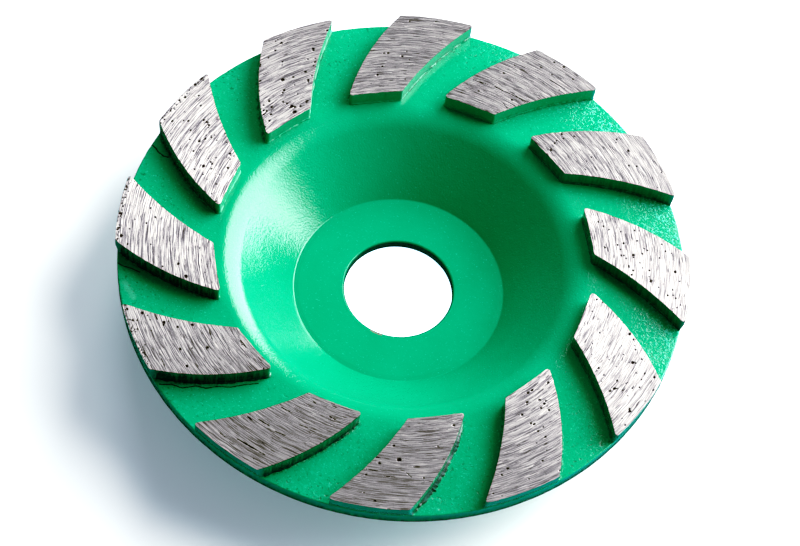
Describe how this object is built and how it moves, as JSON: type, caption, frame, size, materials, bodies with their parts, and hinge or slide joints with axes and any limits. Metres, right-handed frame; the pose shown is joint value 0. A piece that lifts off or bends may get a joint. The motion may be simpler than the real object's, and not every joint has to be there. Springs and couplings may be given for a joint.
{
  "type": "diamond cup wheel",
  "caption": "Dished steel cup wheel with curved diamond grinding segments swirling round its flat rim, and a plain bore for an angle grinder's spindle.",
  "frame": {"origin": "centre of the hub's back face, which seats on the grinder's flange", "axes": "+Z along the spindle axis from the hub's back to the segments' working face; +X and +Y lie in the plane of the hub's back, with segment_01 at 120 degrees from +X"},
  "size_m": [0.115, 0.115, 0.018],
  "materials": {
    "cup": "satin",
    "segment": "ground top face, painted sides"
  },
  "bodies": {
    "root": {"cup_body": "cup", "segment_01": "segment", "segment_02": "segment", "segment_03": "segment", "segment_04": "segment", "segment_05": "segment", "segment_06": "segment", "segment_07": "segment", "segment_08": "segment", "segment_09": "segment", "segment_10": "segment", "segment_11": "segment", "segment_12": "segment"}
  },
  "joints": []
}
